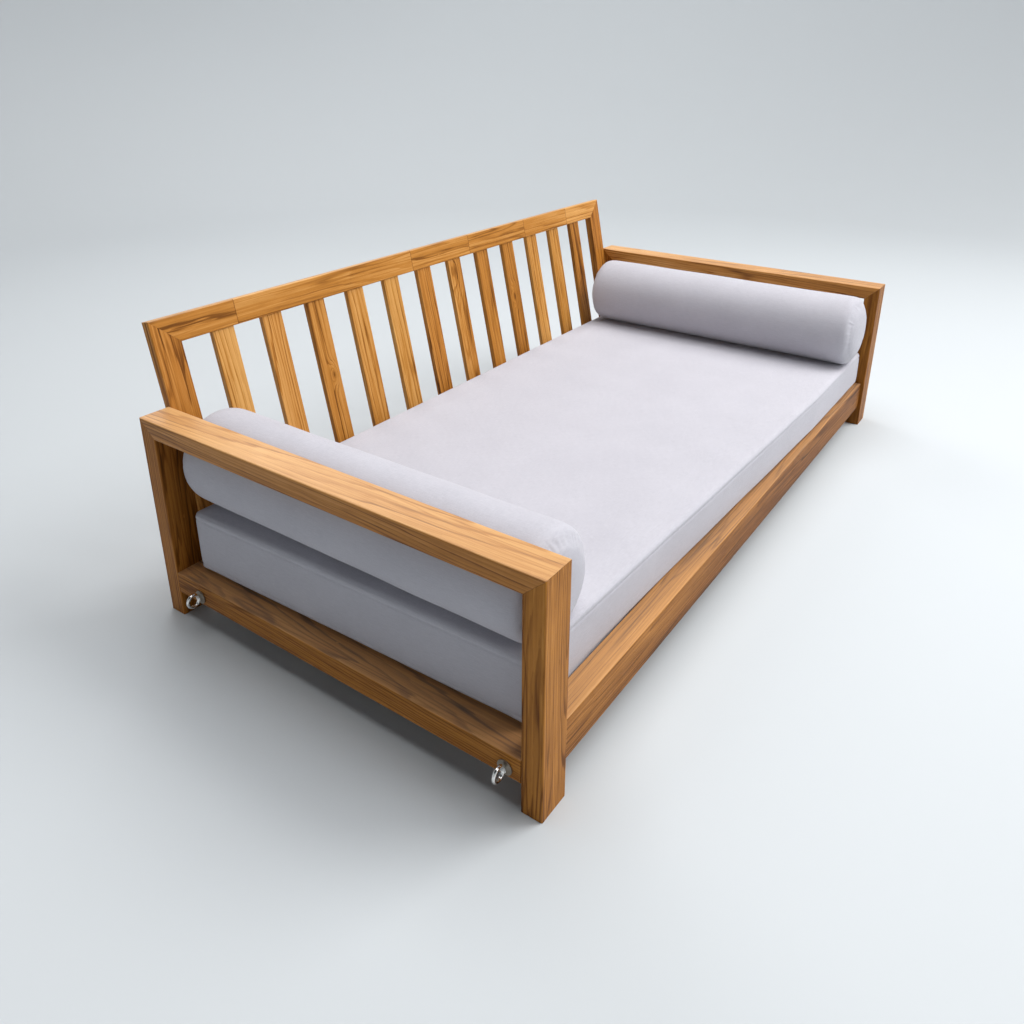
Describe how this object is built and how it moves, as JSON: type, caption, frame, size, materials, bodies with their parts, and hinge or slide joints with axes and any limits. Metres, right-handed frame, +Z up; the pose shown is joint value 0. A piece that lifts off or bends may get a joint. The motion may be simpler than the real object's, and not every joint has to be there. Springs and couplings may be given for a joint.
{
  "type": "daybed",
  "caption": "Oiled teak daybed with open arm frames, a raked slatted back, eye bolts at the arm rails, a box mattress and bolster cushions.",
  "frame": {"origin": "on the floor, at the centre of the whole daybed's plan", "axes": "+X along the length towards the right arm, -Y towards the open front, +Z up"},
  "size_m": [2.071, 1.0546, 0.65],
  "materials": {
    "oiled_teak": "oiled satin",
    "plain_timber": "planed and oiled",
    "stainless_steel": "polished",
    "zinc_steel": "zinc plated",
    "fabric_cover": "plain woven outdoor canvas",
    "foam": "open-cell foam"
  },
  "bodies": {
    "frame": {"left_front_post": "oiled_teak", "left_rear_post": "oiled_teak", "left_arm_rail": "oiled_teak", "left_bottom_rail": "oiled_teak", "left_mitre_tongues": "plain_timber", "right_front_post": "oiled_teak", "right_rear_post": "oiled_teak", "right_arm_rail": "oiled_teak", "right_bottom_rail": "oiled_teak", "right_mitre_tongues": "plain_timber", "front_rail": "oiled_teak", "rear_rail": "oiled_teak", "front_ledger": "plain_timber", "rear_ledger": "plain_timber", "back_left_stile": "oiled_teak", "back_right_stile": "oiled_teak", "back_top_rail": "oiled_teak", "back_bottom_rail": "oiled_teak", "back_mitre_tongues": "plain_timber", "back_slat_01": "oiled_teak", "back_slat_02": "oiled_teak", "back_slat_03": "oiled_teak", "back_slat_04": "oiled_teak", "back_slat_05": "oiled_teak", "back_slat_06": "oiled_teak", "back_slat_07": "oiled_teak", "back_slat_08": "oiled_teak", "back_slat_09": "oiled_teak", "back_slat_10": "oiled_teak", "back_slat_11": "oiled_teak", "back_slat_12": "oiled_teak", "seat_slat_01": "plain_timber", "seat_slat_02": "plain_timber", "seat_slat_03": "plain_timber", "seat_slat_04": "plain_timber", "seat_slat_05": "plain_timber", "seat_slat_06": "plain_timber", "seat_slat_07": "plain_timber", "seat_slat_08": "plain_timber", "seat_slat_09": "plain_timber", "seat_slat_10": "plain_timber", "left_front_eye_bolt": "stainless_steel", "left_rear_eye_bolt": "stainless_steel", "right_front_eye_bolt": "stainless_steel", "right_rear_eye_bolt": "stainless_steel", "eye_plates": "stainless_steel", "eye_washers": "stainless_steel", "eye_nuts": "stainless_steel", "rail_studs": "zinc_steel", "rail_half_moons": "zinc_steel", "rail_nuts": "zinc_steel", "dowels_and_plugs": "plain_timber", "timber_screws": "zinc_steel", "back_bolts": "zinc_steel"},
    "mattress": {"mattress_cover": "fabric_cover", "mattress_core": "foam"},
    "left_bolster": {"left_bolster_cover": "fabric_cover", "left_bolster_core": "foam"},
    "right_bolster": {"right_bolster_cover": "fabric_cover", "right_bolster_core": "foam"}
  },
  "joints": [
    {"name": "mattress_slide", "type": "slide", "parent": "frame", "child": "mattress", "axis": [-1, 0, 0], "range_m": [0, 1.96]},
    {"name": "left_bolster_lift", "type": "slide", "parent": "frame", "child": "left_bolster", "axis": [0.8192, 0, 0.5736], "range_m": [0, 0.4]},
    {"name": "right_bolster_lift", "type": "slide", "parent": "frame", "child": "right_bolster", "axis": [-0.8192, 0, 0.5736], "range_m": [0, 0.4]}
  ]
}
